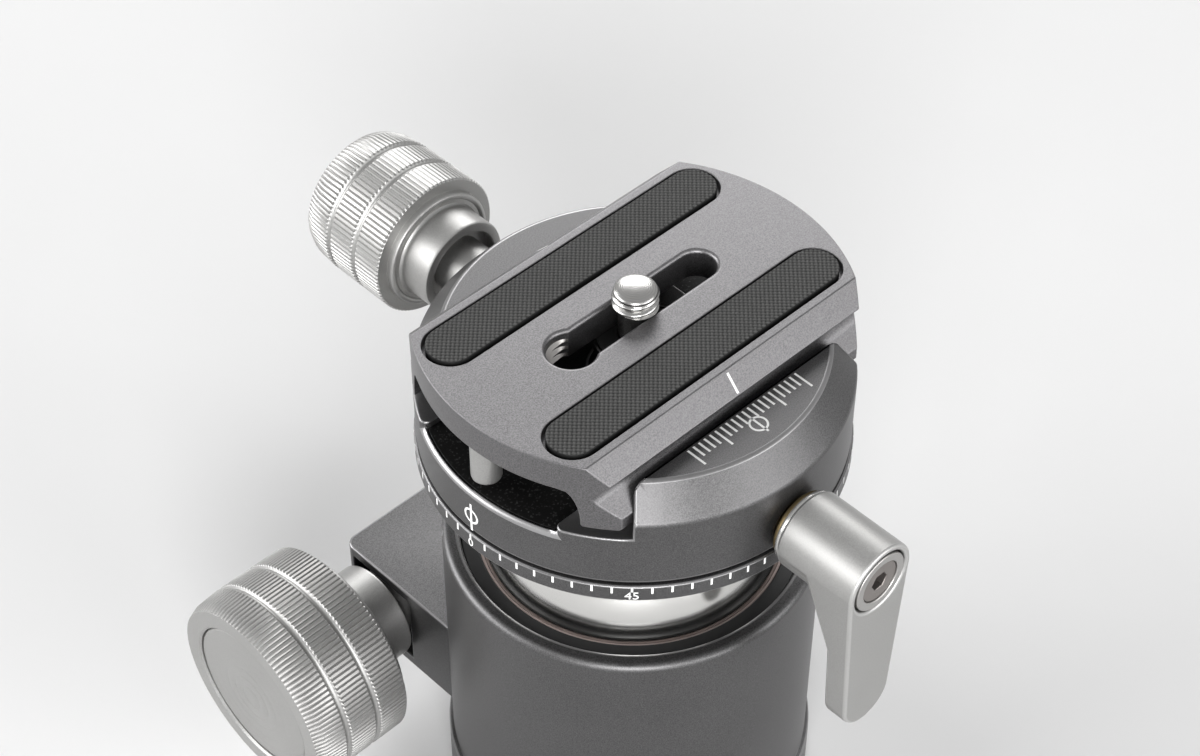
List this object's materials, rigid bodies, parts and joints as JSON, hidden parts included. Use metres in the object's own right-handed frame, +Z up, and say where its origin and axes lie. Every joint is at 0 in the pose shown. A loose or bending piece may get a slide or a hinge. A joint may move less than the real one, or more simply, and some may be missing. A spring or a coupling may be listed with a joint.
{
  "type": "ball head",
  "caption": "Tripod ball head with a pinch-locked ball, panning dovetail clamp, lock lever and a sliding quick-release plate with camera screw.",
  "frame": {"origin": "mouth of the tripod thread, in the middle of the base's underside", "axes": "+Z up along the camera screw, X along the plate and its slot, +Y towards the clamp knob, -Y towards the pan lever, -X towards the main knob"},
  "size_m": [0.0768, 0.1023, 0.0997],
  "materials": {
    "anodised_grey": "bead-blasted, anodised mid grey",
    "plate_grey": "bead-blasted, anodised warm grey",
    "satin_silver": "turned and satin anodised, knurled bands",
    "bright_steel": "turned stainless steel",
    "dark_steel": "dark oxide",
    "polished_ball": "polished and hard anodised clear",
    "brass": "turned",
    "rubber": "fine diamond weave",
    "black_inlay": "black with a fine sparkle",
    "black_plastic": "moulded",
    "seat_polymer": "turned low-friction polymer",
    "bearing_polymer": "smooth"
  },
  "bodies": {
    "stand": {"base_plate": "anodised_grey", "base_screws": "dark_steel", "housing": "anodised_grey", "seat_ring": "seat_polymer", "retaining_ring": "black_plastic", "cup_springs": "bright_steel", "pinch_nut": "bright_steel"},
    "thrust": {"main_washer": "brass"},
    "lock_knob": {"main_knob": "satin_silver", "pinch_bolt": "bright_steel", "main_knob_cap": "satin_silver"},
    "cup": {"ball_cup": "brass"},
    "neck": {"ball": "polished_ball", "scale_ring": "anodised_grey", "pan_bearing": "bearing_polymer", "spindle_cap": "dark_steel", "centre_bolt": "dark_steel"},
    "clamp": {"clamp_body": "anodised_grey", "inlay_plates": "black_inlay", "guide_pins": "bright_steel", "jaw_springs": "bright_steel", "brake_shoe": "brass", "lever_washer": "brass"},
    "jaw": {"moving_jaw": "anodised_grey", "knob_washer": "black_plastic"},
    "jaw_knob": {"clamp_knob": "satin_silver", "clamp_screw": "bright_steel", "clamp_knob_cap": "satin_silver"},
    "lever": {"pan_lever": "satin_silver", "lever_sleeve": "bright_steel", "brake_screw": "dark_steel", "lever_shim": "bright_steel"},
    "plate": {"qr_plate": "plate_grey", "front_grip": "rubber", "rear_grip": "rubber", "stop_pins": "bright_steel"},
    "slider": {"screw_washer": "black_plastic"},
    "screw": {"camera_screw": "bright_steel"}
  },
  "joints": [
    {"name": "main_knob_turn", "type": "hinge", "parent": "thrust", "child": "lock_knob", "pos_m": [-0.03, 0.034, 0.0218], "axis": [-1, 0, 0], "range_deg": [0, 360]},
    {"name": "thrust_slide", "type": "slide", "parent": "stand", "child": "thrust", "axis": [-1, 0, 0], "range_m": [0, 0.001]},
    {"name": "ball_swivel", "type": "hinge", "parent": "stand", "child": "cup", "pos_m": [0, 0, 0.05], "axis": [0, 0, 1], "continuous": true},
    {"name": "ball_tilt", "type": "hinge", "parent": "cup", "child": "neck", "pos_m": [0, 0, 0.05], "axis": [0, 1, 0], "range_deg": [-40, 40]},
    {"name": "clamp_pan", "type": "hinge", "parent": "neck", "child": "clamp", "pos_m": [0, 0, 0.078], "axis": [0, 0, 1], "continuous": true},
    {"name": "lever_turn", "type": "hinge", "parent": "clamp", "child": "lever", "pos_m": [0, -0.038, 0.078], "axis": [0, -1, 0], "range_deg": [-60, 60]},
    {"name": "jaw_knob_turn", "type": "hinge", "parent": "jaw", "child": "jaw_knob", "pos_m": [0, 0.045, 0.0798], "axis": [0, 1, 0], "range_deg": [0, 1080]},
    {"name": "jaw_slide", "type": "slide", "parent": "clamp", "child": "jaw", "axis": [0, 1, 0], "range_m": [0, 0.003], "deforming": ["jaw_springs"]},
    {"name": "plate_slide", "type": "slide", "parent": "clamp", "child": "plate", "axis": [1, 0, 0], "range_m": [-0.0095, 0.0095]},
    {"name": "screw_slide", "type": "slide", "parent": "plate", "child": "slider", "axis": [1, 0, 0], "range_m": [-0.0115, 0.0115]},
    {"name": "screw_spin", "type": "hinge", "parent": "slider", "child": "screw", "pos_m": [0, 0, 0.092], "axis": [0, 0, 1], "continuous": true}
  ],
  "couplings": [
    {"joint": "jaw_knob_turn", "follows": "jaw_slide", "rad_per_m": 6283.2},
    {"joint": "main_knob_turn", "follows": "thrust_slide", "rad_per_m": 6283.2}
  ]
}
